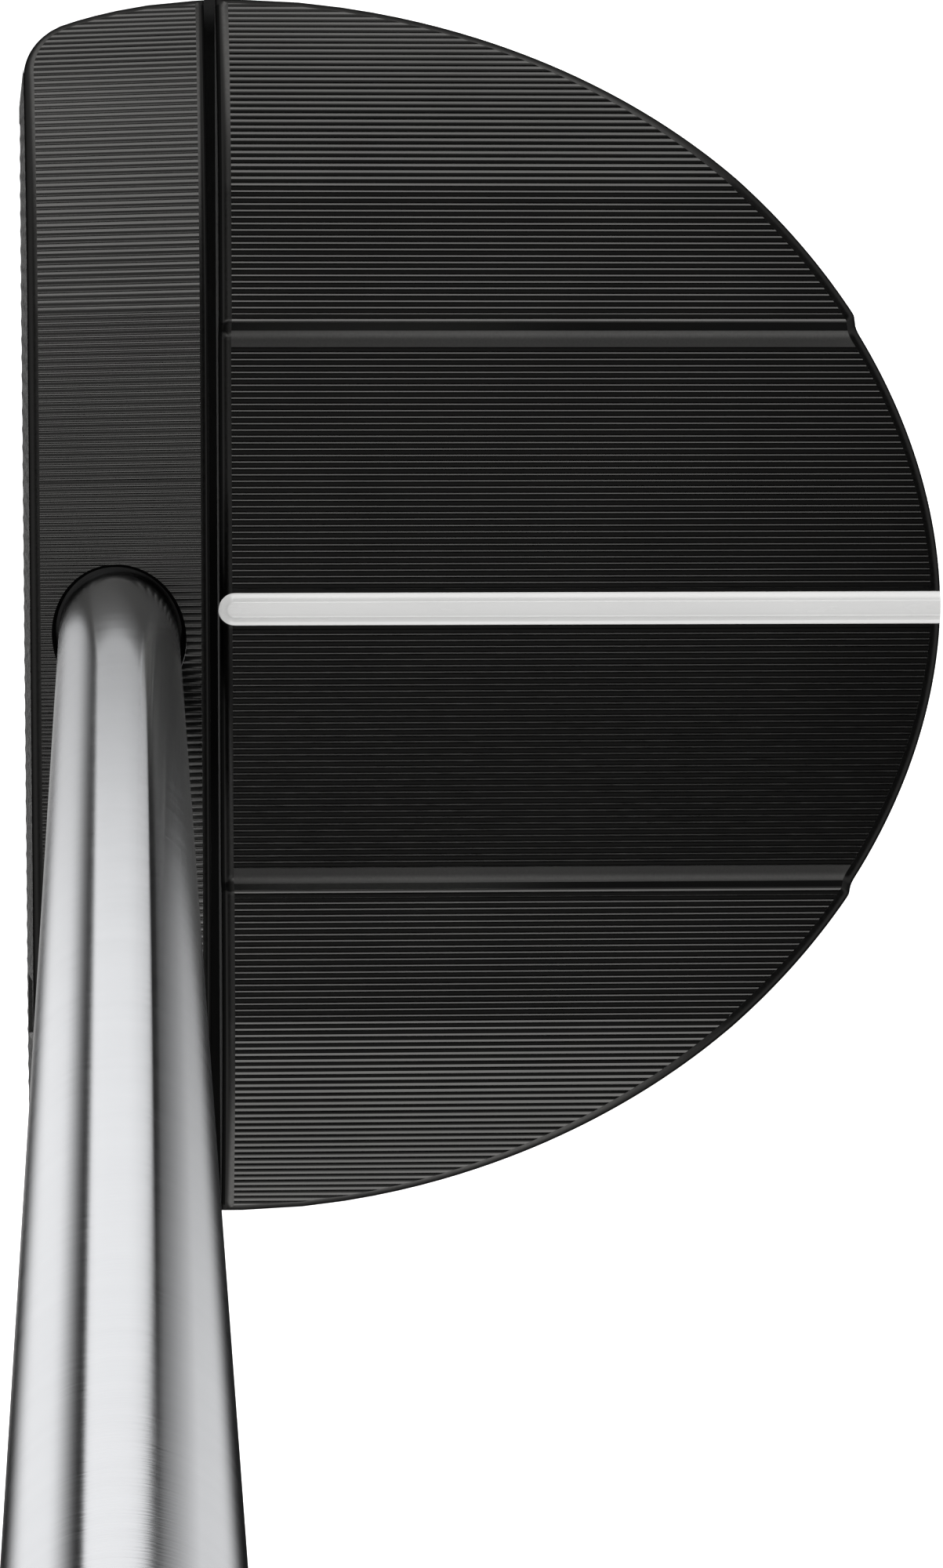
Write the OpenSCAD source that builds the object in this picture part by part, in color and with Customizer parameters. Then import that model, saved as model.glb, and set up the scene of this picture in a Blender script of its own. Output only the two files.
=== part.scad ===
// Centre-shafted mallet putter, right-handed, standing at its playing lie on the ground plane z = 0.
// The face looks along -Y, the toe is towards -X and the heel towards +X. The origin is on the flat of
// the sole, under the sight line, in the plane that holds the shaft axis.

/* [Head outline] */
// Half width of the head across toe and heel
half_w = 48.45; // [44:0.05:52]
// Depth of the rounded rear, from the end of the straight sides to the back
rear_depth = 56.3; // [50:0.1:62]
// Distance from the shaft plane back to where the rounded rear starts
rear_start = 9.5; // [9:0.1:10]
// Exponent of the rear curve: 2 is an ellipse, less is more pointed
rear_power = 1.9; // [1.8:0.05:2.2]
// Plan radius of the two corners between the face and the ends of the bar
corner_r = 4.9; // [3:0.1:6]
// Plan radius of the two ends of the bar
end_r = 35; // [30:1:60]

/* [Face and topline bar] */
// Distance from the shaft plane forward to the top edge of the face
face_top_y = 7.1; // [6.5:0.1:8]
// Height of the bar's front edge
bar_front_z = 23.3; // [22:0.1:25]
// Height of the bar's rear edge
bar_rear_z = 25.3; // [24:0.1:27]
// Distance from the shaft plane back to the bar's rear edge
bar_rear_y = 7.1; // [6.8:0.1:7.4]
// Loft of the face in degrees
loft = 3.5; // [2:0.5:5]
// Half width of the straight middle of the topline
bar_flat = 22.8; // [18:0.1:26]
// Slope in degrees at which the topline leaves its straight middle
bar_break = 3.5; // [0:0.5:6]
// Radius of the topline towards toe and heel
bar_r = 56; // [50:1:70]
// Height of the small recess on the face near the heel
recess_h = 12; // [8:0.5:13]
// Width of the small recess on the face near the heel
recess_w = 5; // [3:0.5:6]

/* [Deck] */
// Height of the middle panel of the deck
panel_z = 21; // [20:0.1:22]
// Half width of the middle panel
panel_half = 22.2; // [18:0.1:24]
// Rise from the middle panel to the wings
wing_rise = 1.6; // [1:0.1:2]
// Half width at which the wings start to fall
wing_flat = 32.7; // [30:0.1:36]
// Slope in degrees at which the wings start to fall
wing_break = 5.8; // [0:0.1:8]
// Radius of the wings towards toe and heel
wing_r = 40; // [38:1:60]
// Width of the channel between bar and deck
channel_w = 0.9; // [0.8:0.1:2]
// Height of the channel's floor
channel_z = 16; // [13:0.1:16]
// Chamfer on the deck's edge along the channel
channel_chamfer = 1; // [0.5:0.1:1.2]

/* [Sight line] */
// Width of the sight line's groove at the deck
line_w = 2.55; // [2:0.05:3.5]
// Width of the groove's floor
line_floor_w = 1.25; // [0.8:0.05:1.6]
// Depth of the groove
line_depth = 0.7; // [0.5:0.1:1]
// Thickness of the enamel in the groove
enamel_t = 0.15; // [0.1:0.05:0.3]

/* [Sole] */
// Half width of the flat of the sole
sole_flat = 29; // [26:0.5:32]
// Radius of the sole towards toe and heel
sole_r = 62; // [50:1:90]
// Distance from the shaft plane back to where the sole starts to rise
sole_flat_y = 38; // [36:0.5:44]
// Height of the sole at the rear edge
sole_rear_z = 5.5; // [3:0.1:8]
// Radius of the leading edge
lead_r = 3; // [2:0.1:4]
// Width of the sole plate
plate_w = 50; // [40:1:54]
// Depth of the sole plate, face to rear
plate_d = 25; // [18:1:27]
// Thickness of the sole plate
plate_t = 4; // [3:0.1:6]
// Distance from the shaft plane back to the sole plate's front edge
plate_y = 11; // [10.5:0.5:12]
// Distance of the toe and heel weights from the sight line
weight_x = 36; // [35.5:0.5:37]
// Diameter of the toe and heel weights
weight_d = 14; // [10:0.5:16]
// Height of the toe and heel weights
weight_h = 9; // [6:0.5:11]

/* [Shaft] */
// Lie angle between the shaft and the ground in degrees
lie = 70; // [68:0.5:73]
// Length of the club along the shaft, from the ground to the end of the grip
club_length = 889; // [813:1:940]
// Place of the shaft axis along the topline, heel side of the sight line
entry_x = 2.33; // [0:0.01:4]
// Diameter of the shaft at the tip
tip_d = 9.4; // [9:0.1:10]
// Diameter of the shaft at the butt
butt_d = 14.7; // [14:0.1:15.3]
// Length of the parallel stretch at the tip
parallel_l = 240; // [200:5:300]
// Wall of the tube at the tip
tip_wall = 0.6; // [0.5:0.05:0.9]
// Wall of the tube at the butt
butt_wall = 0.42; // [0.35:0.01:0.7]
// Depth of shaft held in the head, along its axis
insert_depth = 19; // [15:0.5:20]
// Diameter of the bore in the head
bore_d = 9.9; // [9.6:0.05:10.1]
// Diameter of the chamfer at the mouth of the bore
mouth_d = 10.5; // [10.2:0.1:11]

/* [Grip] */
// Length of the grip without its cap
grip_l = 267; // [250:1:300]
// Diameter of the grip at its mouth
grip_mouth_d = 21; // [20:0.5:24]
// Diameter of the grip at its butt
grip_butt_d = 28.5; // [26:0.5:32]
// Distance from the axis to the flat front at the mouth
flat_mouth = 8.9; // [8.6:0.1:10]
// Distance from the axis to the flat front at the butt
flat_butt = 11.6; // [10.5:0.1:13]
// Thickness of the grip's outer skin
skin_t = 1.2; // [1:0.1:1.5]
// Thickness of the tape under the grip
tape_t = 0.2; // [0.1:0.05:0.3]
// Thickness of the grip's end cap
cap_t = 4; // [3:0.5:5]
// Diameter of the vent hole in the end cap
vent_d = 4; // [3:0.5:5]

/* [Hidden] */
$fn = 96;
eps = 0.01;
big = 120;
// Height of the shaft entry, where the axis meets the sloping top of the bar
entry_z = (bar_front_z + bar_rear_z) / 2;
// Where the shaft axis meets the ground
foot_x = entry_x - entry_z / tan(lie);
// Positions along the shaft axis, from the ground up
entry_s = entry_z / sin(lie);
tip_s = entry_s - insert_depth;
taper_s = tip_s + parallel_l;
butt_s = club_length - cap_t;
grip_s = butt_s - grip_l;
bar_tilt = atan((bar_rear_z - bar_front_z) / (face_top_y + bar_rear_y));
lead_y = face_top_y + bar_front_z * tan(loft);
deck_y = bar_rear_y + channel_w;
rear_y = rear_start + rear_depth;
wing_z = panel_z + wing_rise;
screw_r = 1.5;
screw_head_r = 2.7;
screw_l = 9;
screw_x = plate_w / 2 - 6;
screw_ys = [plate_y + 6, plate_y + plate_d - 6];
drive_r = 3;
drive_depth = 2.5;
weight_y = 3;
weight_z = 1;
recess_depth = 0.4;
recess_x = 32.1;
recess_z = 12;
plug_l = 14;
cap_chamfer = 1.2;

// Point of the bar's heel end at a distance y behind the shaft plane
function end_point(y) = [half_w - end_r + sqrt(end_r * end_r - pow(bar_rear_y - y, 2)), y];
// Centre of the heel corner's radius where the face is at a distance y in front of the shaft plane
function corner_centre(y) = let (reach = end_r - corner_r)
    [half_w - end_r + sqrt(reach * reach - pow(bar_rear_y + y - corner_r, 2)), corner_r - y];
// Point of the rounded rear at an angle from -90 (toe) to 90 (heel)
function rear_point(a) = [
    half_w * sign(sin(a)) * pow(abs(sin(a)), 2 / rear_power),
    rear_start + rear_depth * pow(abs(cos(a)), 2 / rear_power)
];
function arc(c, r, a0, a1, n) = [for (i = [0:n]) let (a = a0 + (a1 - a0) * i / n) c + r * [cos(a), sin(a)]];
function mirrored(points) = [for (i = [len(points) - 1:-1:0]) [-points[i][0], points[i][1]]];

// Drop of a surface at a distance x past the break, for a break slope and a radius
function fall(x, slope, r) = r * (cos(slope) - sqrt(1 - pow(sin(slope) + x / r, 2)));
function crown(half, flat, z, slope, r, n) = [
    for (i = [0:n]) [flat + (half - flat) * i / n, z - fall((half - flat) * i / n, slope, r)]
];

module along_x(length) {
    rotate([90, 0, 90]) linear_extrude(length, center = true) children();
}

module along_y(from, to) {
    translate([0, to, 0]) rotate([90, 0, 0]) linear_extrude(to - from) children();
}

// Local frame of the shaft: +Z up the shaft, -X towards the flat front of the grip
module on_shaft(s = 0) {
    translate([foot_x, 0, 0]) rotate([0, 90 - lie, 0]) translate([0, 0, s]) children();
}

// Plan of the head: face, rounded ends of the bar and the curved rear
module head_plan() {
    front = lead_y + 0.2;
    end = [for (i = [0:16]) end_point(bar_rear_y - (bar_rear_y + front) * (1 - i / 16))];
    heel_side = concat(end, [for (a = [90:-2:0]) rear_point(a)]);
    polygon(concat(heel_side, mirrored(heel_side)));
}

// What rounds the corner between the face and an end of the bar, leaning back with the loft
module corner_cut(side) {
    foot = corner_centre(lead_y);
    top = corner_centre(lead_y - bar_rear_z * tan(loft));
    lean = atan((top[0] - foot[0]) / bar_rear_z);
    turn = asin((bar_rear_y - foot[1]) / (end_r - corner_r));
    out = side * (corner_r + 2);
    translate([side * foot[0], foot[1], 0]) rotate([-loft, side * lean, 0]) linear_extrude(40) difference() {
        polygon([[0, 0], [0, -abs(out)], [out, -abs(out)], [out, -abs(out) * tan(turn)]]);
        circle(corner_r);
    }
}

// Side view of everything between the loft of the face and the rising sole
module side_limits() {
    nose = [lead_r * tan(loft) + lead_r / cos(loft) - lead_y, lead_r];
    top = bar_rear_z + 5;
    polygon(concat(
        [[top * tan(loft) - lead_y, top]],
        arc(nose, lead_r, 180 - loft, 270, 8),
        [[sole_flat_y, 0], [rear_y + 1, sole_rear_z], [rear_y + 1, top]]
    ));
}

// Front view of the sole: flat in the middle, curved up to toe and heel
module sole_limits() {
    side = crown(half_w + 1, sole_flat, 0, 0, sole_r, 10);
    rising = [for (p = side) [p[0], -p[1]]];
    polygon(concat(rising, [[half_w + 1, 40], [-half_w - 1, 40]], mirrored(rising)));
}

// Front view of the topline, straight in the middle and falling to both ends
module bar_profile() {
    side = crown(half_w + 1, bar_flat, bar_rear_z, bar_break, bar_r, 14);
    polygon(concat(mirrored(side), side, [[half_w + 1, 0], [-half_w - 1, 0]]));
}

// Front view of the deck: low middle panel, raised wings that fall to both ends
module deck_profile() {
    wing = crown(half_w + 1, wing_flat, wing_z, wing_break, wing_r, 12);
    step = [[panel_half, panel_z], [panel_half + 0.2, wing_z - 0.3], [panel_half + 0.6, wing_z]];
    side = concat(step, wing);
    polygon(concat(mirrored(side), side, [[half_w + 1, 0], [-half_w - 1, 0]]));
}

module bar_block() {
    pivot = [0, bar_rear_y, bar_rear_z];
    intersection() {
        translate(pivot) rotate([bar_tilt, 0, 0]) translate(-pivot) along_y(-30, 40) bar_profile();
        translate([-half_w - 1, -20, 0]) cube([2 * half_w + 2, 20 + bar_rear_y, bar_rear_z]);
    }
}

// Side view of the deck with its chamfered front edge, for a given height of its top
module deck_side(length, top) {
    c = channel_chamfer;
    along_x(length) polygon([
        [deck_y, 0], [deck_y, top - c], [deck_y + c, top], [rear_y + 1, top], [rear_y + 1, 0]
    ]);
}

module deck_block() {
    intersection() {
        along_y(deck_y, rear_y + 1) deck_profile();
        union() {
            deck_side(2 * panel_half, panel_z);
            difference() {
                deck_side(2 * half_w + 2, wing_z);
                translate([-panel_half, 0, 0]) cube([2 * panel_half, big, wing_z + 1]);
            }
        }
    }
}

// Groove of the sight line with a conical front end; inset gives the inside of the enamel
module line_groove(inset = 0) {
    z = panel_z - line_depth + inset;
    w0 = line_floor_w / 2 - inset * 0.7;
    w1 = line_w / 2 - inset;
    rise = line_depth - inset;
    over = 0.5;
    w2 = w1 + (w1 - w0) * over / rise;
    y0 = deck_y + channel_chamfer + 0.1;
    translate([0, y0, z]) cylinder(h = rise + over, r1 = w0, r2 = w2);
    along_y(y0, rear_y + 2) polygon([[-w0, z], [w0, z], [w2, z + rise + over], [-w2, z + rise + over]]);
}

module head_blank() {
    difference() {
        intersection() {
            linear_extrude(40) head_plan();
            along_x(2 * big) side_limits();
            along_y(-40, 80) sole_limits();
            union() {
                bar_block();
                deck_block();
                translate([-half_w - 1, bar_rear_y - 1, 0]) cube([2 * half_w + 2, channel_w + 2, channel_z]);
            }
        }
        for (side = [-1, 1]) corner_cut(side);
    }
}

module plate_plan(clearance = 0) {
    w = plate_w / 2 + clearance;
    r = 5 + clearance;
    y0 = plate_y - clearance;
    y1 = plate_y + plate_d + clearance;
    translate([-w + r, y0]) square([2 * w - 2 * r, y1 - y0]);
    translate([-w, y0 + r]) square([2 * w, y1 - y0 - 2 * r]);
    for (x = [-w + r, w - r], y = [y0 + r, y1 - r]) translate([x, y]) circle(r);
}

module at_screws() {
    for (x = [-screw_x, screw_x], y = screw_ys) translate([x, y, 0]) children();
}

module weight_at(side) {
    translate([side * weight_x, weight_y, weight_z]) children();
}

module head_body() {
    color([0.11, 0.11, 0.12]) difference() {
        head_blank();
        line_groove();
        translate([0, 0, -eps]) linear_extrude(plate_t + eps) plate_plan();
        at_screws() cylinder(h = screw_l, r = screw_r);
        for (side = [-1, 1]) weight_at(side) translate([0, 0, -5]) cylinder(h = weight_h + 5, d = weight_d);
        on_shaft(tip_s) cylinder(h = 60, d = bore_d);
        on_shaft(entry_s - 1) cylinder(h = 2, d1 = bore_d - 0.6, d2 = mouth_d + 0.6);
        translate([recess_x - recess_w / 2, -lead_y - 2, recess_z - recess_h / 2])
            cube([recess_w, 2 + recess_depth + recess_z * tan(loft) + 1, recess_h]);
    }
}

module sight_line_enamel() {
    color([0.93, 0.93, 0.92]) intersection() {
        difference() {
            line_groove();
            line_groove(enamel_t);
        }
        head_envelope();
    }
}

// The head before the groove is cut, used to trim the enamel to the surface
module head_envelope() {
    intersection() {
        head_blank();
        translate([-5, 0, 0]) cube([10, big, 40]);
    }
}

module sole_plate() {
    color([0.62, 0.63, 0.65]) difference() {
        linear_extrude(plate_t) plate_plan();
        at_screws() translate([0, 0, -eps]) cylinder(h = plate_t + 1, r = screw_r);
        at_screws() translate([0, 0, -eps])
            cylinder(h = screw_head_r - screw_r + eps, r1 = screw_head_r, r2 = screw_r);
    }
}

module sole_plate_screws() {
    color([0.5, 0.5, 0.52]) at_screws() difference() {
        union() {
            cylinder(h = screw_head_r - screw_r, r1 = screw_head_r, r2 = screw_r);
            cylinder(h = screw_l, r = screw_r);
        }
        translate([0, 0, -eps]) cylinder(h = 1.3, r = 1, $fn = 6);
    }
}

module weight(side) {
    weight_at(side) difference() {
        cylinder(h = weight_h, d = weight_d);
        translate([0, 0, -eps]) cylinder(h = drive_depth, r = drive_r, $fn = 6);
    }
}

module toe_weight() {
    color([0.45, 0.46, 0.48]) weight(-1);
}

module heel_weight() {
    color([0.45, 0.46, 0.48]) weight(1);
}

// Cured epoxy between the shaft and the wall of the bore
module shaft_adhesive() {
    color([0.75, 0.72, 0.6]) on_shaft(tip_s) difference() {
        cylinder(h = insert_depth - 2.5, d = bore_d);
        translate([0, 0, -eps]) cylinder(h = insert_depth, d = tip_d);
    }
}

// Plug that keeps the epoxy out of the tube
module shaft_tip_plug() {
    color([0.72, 0.6, 0.42]) on_shaft(tip_s) cylinder(h = plug_l, d = tip_d - 2 * tip_wall);
}

// Steel tube: parallel at the tip, then an even taper to the butt
module shaft() {
    tip_r = tip_d / 2;
    butt_r = butt_d / 2;
    color([0.78, 0.79, 0.8]) on_shaft() rotate_extrude() polygon([
        [tip_r - tip_wall, tip_s], [tip_r, tip_s], [tip_r, taper_s], [butt_r, butt_s],
        [butt_r - butt_wall, butt_s], [tip_r - tip_wall, taper_s]
    ]);
}

// Radius of the shaft at a place along its axis
function shaft_r(s) = tip_d / 2 + (butt_d - tip_d) / 2 * max(0, s - taper_s) / (butt_s - taper_s);

module grip_tape() {
    r0 = shaft_r(grip_s);
    r1 = shaft_r(butt_s);
    color([0.85, 0.83, 0.75]) on_shaft() rotate_extrude() polygon([
        [r0, grip_s], [r0 + tape_t, grip_s], [r1 + tape_t, butt_s], [r1, butt_s]
    ]);
}

// Outer shape of the grip less a margin: a taper with a flat front for the thumbs
module grip_form(margin) {
    r0 = grip_mouth_d / 2 - margin;
    r1 = grip_butt_d / 2 - margin;
    f0 = flat_mouth - margin;
    f1 = flat_butt - margin;
    on_shaft(grip_s) difference() {
        rotate_extrude() polygon([[0, 0], [r0 - 0.5, 0], [r0, 1.5], [r1, grip_l], [0, grip_l]]);
        rotate([90, 0, 0]) linear_extrude(big, center = true)
            polygon([[-f0, -1], [-f0, 0], [-f1, grip_l], [-f1, grip_l + 1], [-big, grip_l + 1], [-big, -1]]);
    }
}

module grip_hole(extra) {
    r0 = shaft_r(grip_s) + extra;
    r1 = shaft_r(butt_s) + extra;
    on_shaft() rotate_extrude() polygon([
        [0, grip_s - 1], [r0, grip_s - 1], [r0, grip_s], [r1, butt_s], [r1, butt_s + 1], [0, butt_s + 1]
    ]);
}

module grip_core() {
    color([0.2, 0.2, 0.22]) difference() {
        grip_form(skin_t);
        grip_hole(tape_t);
    }
}

module grip_skin() {
    color([0.06, 0.06, 0.065]) difference() {
        grip_form(0);
        grip_form(skin_t);
        grip_hole(tape_t);
    }
}

// End cap over the butt, with a chamfered rim, the grip's flat front and a vent hole
module grip_cap() {
    r = grip_butt_d / 2;
    color([0.09, 0.09, 0.1]) on_shaft(butt_s) difference() {
        union() {
            cylinder(h = cap_t - cap_chamfer, r = r);
            translate([0, 0, cap_t - cap_chamfer]) cylinder(h = cap_chamfer, r1 = r, r2 = r - cap_chamfer);
        }
        translate([-big - flat_butt, -big / 2, -1]) cube([big, big, cap_t + 2]);
        translate([0, 0, -1]) cylinder(h = cap_t + 2, d = vent_d);
    }
}

head_body();
sight_line_enamel();
sole_plate();
sole_plate_screws();
toe_weight();
heel_weight();
shaft_adhesive();
shaft_tip_plug();
shaft();
grip_tape();
grip_core();
grip_skin();
grip_cap();
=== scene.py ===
"""Looks of the centre-shafted mallet putter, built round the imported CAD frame.

Sizes are in millimetres and degrees in the head's own frame: the face looks along -Y, the toe is towards
-X, the heel towards +X, and the origin is under the sight line. to_object() turns them into metres.
"""

import math

import bmesh
import bpy
import numpy as np
from mathutils import Matrix, Vector
from mathutils.geometry import delaunay_2d_cdt


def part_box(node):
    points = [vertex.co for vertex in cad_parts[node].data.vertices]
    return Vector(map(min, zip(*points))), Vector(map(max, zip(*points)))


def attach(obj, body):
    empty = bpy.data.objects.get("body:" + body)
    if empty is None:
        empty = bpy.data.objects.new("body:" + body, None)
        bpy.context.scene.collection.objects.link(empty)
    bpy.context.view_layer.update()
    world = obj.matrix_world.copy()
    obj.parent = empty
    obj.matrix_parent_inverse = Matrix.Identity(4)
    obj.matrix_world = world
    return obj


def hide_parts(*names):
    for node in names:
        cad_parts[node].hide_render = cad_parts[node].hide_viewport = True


MM = 0.001

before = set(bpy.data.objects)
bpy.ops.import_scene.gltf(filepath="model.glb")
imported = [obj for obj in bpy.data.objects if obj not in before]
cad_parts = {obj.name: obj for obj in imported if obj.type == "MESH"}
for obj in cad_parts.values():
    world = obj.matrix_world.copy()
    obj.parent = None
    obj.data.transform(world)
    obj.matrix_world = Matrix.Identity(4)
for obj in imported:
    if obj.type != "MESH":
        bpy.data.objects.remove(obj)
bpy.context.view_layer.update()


# ---- sizes read from the frame

head_low, head_high = (np.array(end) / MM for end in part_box("head_body"))
HALF_W, REAR_Y, BAR_REAR_Z = head_high
LEAD_Y = -head_low[1]

# ---- sizes of the design

# Plan: rounded rear, curved ends of the bar, front corners
REAR_START, REAR_POWER = 9.5, 1.9
END_R, CORNER_R = 35, 4.9
LOFT = math.radians(3.5)

# Topline bar: flat, then a break in slope and a fall along an arc, where the ribs change pitch
FACE_TOP_Y, BAR_REAR_Y = 7.1, 7.1
BAR_FRONT_Z = 23.3
BAR_TILT = (BAR_REAR_Z - BAR_FRONT_Z) / (FACE_TOP_Y + BAR_REAR_Y)
BAR_FLAT, BAR_BREAK, BAR_R = 22.8, math.radians(3.5), 56
BAR_PITCH, BAR_RIB_DEPTH, BAR_RIBS_END = 0.547, 0.05, 53
PITCH_SPAN, PITCH_GAIN, PITCH_LOSS = 25, 0.043, 0.185
BAR_BACK_R = 0.6

# Deck: low ribbed panel, step, ribbed wing, rounded rim
PANEL_Z, WING_Z = 21, 22.6
PANEL_RIBS_END, WING_START = 20.5, 22.75
WING_FLAT, WING_BREAK, WING_R = 32.7, math.radians(5.8), 40
DECK_PITCH, DECK_RIB_DEPTH = 0.5, 0.047
WING_PITCH, WING_RIB_DEPTH, WING_ARC_RIBS = 0.508, 0.052, 35
STEP_FOOT_X, STEP_FILLET_R, STEP_SLOPE, STEP_EDGE_R = 20.95, 0.87, math.radians(62), 0.45
DECK_Y = 8.0
RIM_R = 1.0

# Channel between bar and deck; its floor runs up at the very ends
CHANNEL_Z = 16
CHANNEL_RUN_X, CHANNEL_RUN_UP = 45, 1.3

# Sight line: groove, and the enamel's section as distances from the middle and heights
LINE_HALF, LINE_FLOOR_HALF, LINE_FLOOR_Z = 1.275, 0.625, 20.3
LINE_START_Y = 9.2
ENAMEL_T, ENAMEL_SKIRT, ENAMEL_END = 0.12, 0.12, 0.06
ENAMEL_D = (0, 0.3, 0.52, 0.6, 0.66, 0.72, 0.95, 1.2)
ENAMEL_LIFT = (0, 0.01, 0.03, 0.06, 0.13, 0.2, 0.4, 0.56)

# Sole, its plate and the two weights
SOLE_FLAT, SOLE_R = 29, 62
SOLE_FLAT_Y, SOLE_REAR_Z = 38, 5.5
LEAD_R, SOLE_EDGE_R, EDGE_JOIN = 3, 0.8, 8
PLATE_HALF, PLATE_Y0, PLATE_Y1, PLATE_R, PLATE_T = 25, 11, 36, 5, 4
WEIGHT_X, WEIGHT_Y, WEIGHT_Z, WEIGHT_R, WEIGHT_TOP = 36, 3, 1, 7, 10
WEIGHT_CHAMFER, RING_PITCH, RING_HEIGHT = 0.4, 0.12, 0.03
DRIVE_R, DRIVE_DEPTH, DRIVE_CHAMFER = 3, 2.5, 0.25

# Face: crossed mill marks and the plain recess near the heel
MILL_PITCH, MILL_DEPTH, MILL_LEAN = 1.5, 0.07, math.radians(12)
MILL_HALF, MILL_FADE = 43, 1.5
RECESS_X, RECESS_Z, RECESS_W, RECESS_H, RECESS_DEPTH = 32.1, 12, 5, 12, 0.4

# Shaft and bore; each S is a distance along the axis from the ground
LIE = math.radians(70)
ENTRY_X = 2.33
ENTRY_Z = (BAR_FRONT_Z + BAR_REAR_Z) / 2
FOOT = np.array([ENTRY_X - ENTRY_Z / math.tan(LIE), 0, 0])
AXIS = np.array([math.cos(LIE), 0, math.sin(LIE)])
TO_FLAT = np.array([-math.sin(LIE), 0, math.cos(LIE)])
ACROSS = np.array([0, 1, 0])
ENTRY_S = ENTRY_Z / math.sin(LIE)
TIP_S = ENTRY_S - 19
TAPER_S = TIP_S + 240
BUTT_S = 885
TIP_R, BUTT_R, TIP_WALL, BUTT_WALL = 4.7, 7.35, 0.6, 0.42
BORE_R, MOUTH_R, MOUTH_DEPTH, MOUTH_LIP = 4.95, 5.25, 0.5, 0.05
MOUTH_AREA = 12

# Grip: round with a flat front, diamond grooves round its back, a rolled mouth
GRIP_S = BUTT_S - 267
GRIP_MOUTH_R, GRIP_BUTT_R = 10.5, 14.25
FLAT_MOUTH, FLAT_BUTT, FLAT_SOFTNESS = 8.9, 11.6, 0.75
GROOVE_DEPTH, GROOVE_SHARE, GROOVES_ROUND, GROOVE_LEAD = 0.25, 0.12, 12, 14
GROOVES_FROM, GROOVES_FADE = 1.0, 0.12
PLAIN_MOUTH, PLAIN_BUTT, PLAIN_FADE = 8, 6, 2
GRIP_LIP_R, GRIP_GAP = 1.5, 0.25

# How finely shapes are cut, and how far apart the two points of a sharp edge are
SAMPLES_PER_RIB, RIM_STEPS = 8, 8
FACE_ROWS, NOSE_ROWS = 36, 7
NOSE_TURN = np.linspace(0, math.pi / 2, NOSE_ROWS + 1)[1:]
SOLE_GRID = 3.0
SHARP = 0.02

UP = (0, 0, 1)

# The head's material slots, in the order that its materials are given
# PAINTED_SHADE is painted shade: a near-black copy of the head's metal on the channel, the bore, the lower
# halves of rims and the step's wall.
RIBS, EDGE, FACE, PAINTED_SHADE, STEP = range(5)


# ---- mesh building


class Surface:
    """Patches of points in millimetres that become one mesh."""

    def __init__(self):
        self.points = []
        self.faces = []
        self.slots = []
        self.count = 0

    def add(self, points, faces, slot=RIBS):
        self.points.append(np.asarray(points, float))
        self.faces += [[self.count + i for i in face] for face in faces]
        self.slots += np.resize(slot, len(faces)).tolist()
        self.count += len(points)

    def grid(self, rows, slot=RIBS, facing=None, closed=False):
        """Quads through rows of points that look towards facing; slot may hold one number for each column."""
        rows = np.asarray(rows, float)
        if closed:
            rows = np.concatenate([rows, rows[:, :1]], axis=1)
        a, b = rows[:-1, :-1], rows[1:, 1:]
        c, d = rows[1:, :-1], rows[:-1, 1:]
        normal = np.cross(b - a, c - d).sum(axis=(0, 1))
        n, m = rows.shape[:2]
        index = np.arange(n * m).reshape(n, m)
        quads = np.stack([index[:-1, :-1], index[1:, :-1], index[1:, 1:], index[:-1, 1:]], -1).reshape(-1, 4)
        if facing is not None and normal @ np.asarray(facing, float) > 0:
            quads = quads[:, ::-1]
        self.add(rows.reshape(-1, 3), quads.tolist(), slot)

    def to_object(self, name, materials, smooth_angle=30):
        mesh = bpy.data.meshes.new(name)
        mesh.from_pydata((np.concatenate(self.points) * MM).tolist(), [], self.faces)
        mesh.polygons.foreach_set("material_index", self.slots)
        for material in materials:
            mesh.materials.append(material)
        work = bmesh.new()
        work.from_mesh(mesh)
        bmesh.ops.remove_doubles(work, verts=work.verts, dist=1e-4 * MM)
        bmesh.ops.dissolve_degenerate(work, edges=work.edges, dist=1e-5 * MM)
        work.to_mesh(mesh)
        work.free()
        mesh.shade_smooth()
        mesh.set_sharp_from_angle(angle=math.radians(smooth_angle))
        return in_scene(name, mesh)


def in_scene(name, data):
    """A new object in the scene."""
    made = bpy.data.objects.new(name, data)
    bpy.context.scene.collection.objects.link(made)
    return made


def full_turn(n):
    return np.linspace(0, 2 * math.pi, n, endpoint=False)


def stack(*columns):
    """Points from arrays of x, y and z."""
    return np.stack(np.broadcast_arrays(*columns), axis=-1)


# ---- head: front view profiles


def crown(s, flat, top, slope, radius):
    """x, z and slope at an arc length s from the sight line, on a top that is flat and then falls."""
    beyond = np.maximum(0, s - flat)
    angle = np.where(s > flat, slope + beyond / radius, 0)
    x = np.where(s > flat, flat + radius * (np.sin(angle) - math.sin(slope)), s)
    z = np.where(s > flat, top - radius * (math.cos(slope) - np.cos(angle)), top)
    return x, z, angle


def scallops(ridges, depth):
    """Arc lengths across a run of ribs, depth of the milled scallop at each, and which are ridges."""
    k = np.arange((len(ridges) - 1) * SAMPLES_PER_RIB + 1)
    s = np.interp(k / SAMPLES_PER_RIB, np.arange(len(ridges)), ridges)
    pitch = np.gradient(ridges)[np.minimum(k // SAMPLES_PER_RIB, len(ridges) - 1)]
    across = (k % SAMPLES_PER_RIB) / SAMPLES_PER_RIB - 0.5
    radius = (pitch**2 / 4 + depth**2) / (2 * depth)
    drop = np.sqrt(radius**2 - (across * pitch) ** 2) - np.sqrt(radius**2 - pitch**2 / 4)
    return s, drop, k % SAMPLES_PER_RIB == 0


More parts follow.
